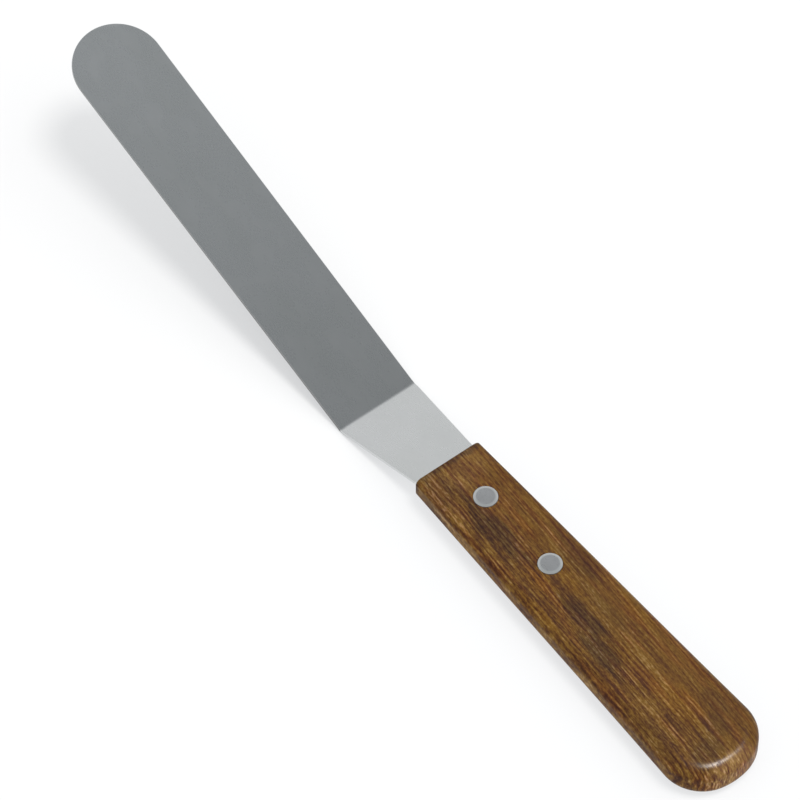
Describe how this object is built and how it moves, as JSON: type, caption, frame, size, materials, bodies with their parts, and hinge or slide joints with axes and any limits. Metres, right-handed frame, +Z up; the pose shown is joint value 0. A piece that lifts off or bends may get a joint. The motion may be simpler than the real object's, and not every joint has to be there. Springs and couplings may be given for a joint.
{
  "type": "palette knife",
  "caption": "Offset palette knife: round-tipped, cranked spring-steel blade with a hidden tang riveted between the halves of a flat tapered hardwood handle.",
  "frame": {"origin": "centre of the bounding box on the ground that the knife rests on, under the neck and about 17.5 mm ahead of the wood", "axes": "+X from the butt of the handle towards the blade's tip, +Z up with the blade's working top face uppermost, +Y to the left"},
  "size_m": [0.2654, 0.0266, 0.0353],
  "materials": {
    "blade_steel": "fine satin stainless spring steel",
    "handle_wood": "lacquered reddish-brown hardwood with fine golden and dark streaks",
    "rivet_metal": "satin, lightly buffed"
  },
  "bodies": {
    "root": {"blade": "blade_steel", "handle_upper_half": "handle_wood", "handle_lower_half": "handle_wood", "front_rivet_male": "rivet_metal", "front_rivet_female": "rivet_metal", "rear_rivet_male": "rivet_metal", "rear_rivet_female": "rivet_metal"}
  },
  "joints": []
}
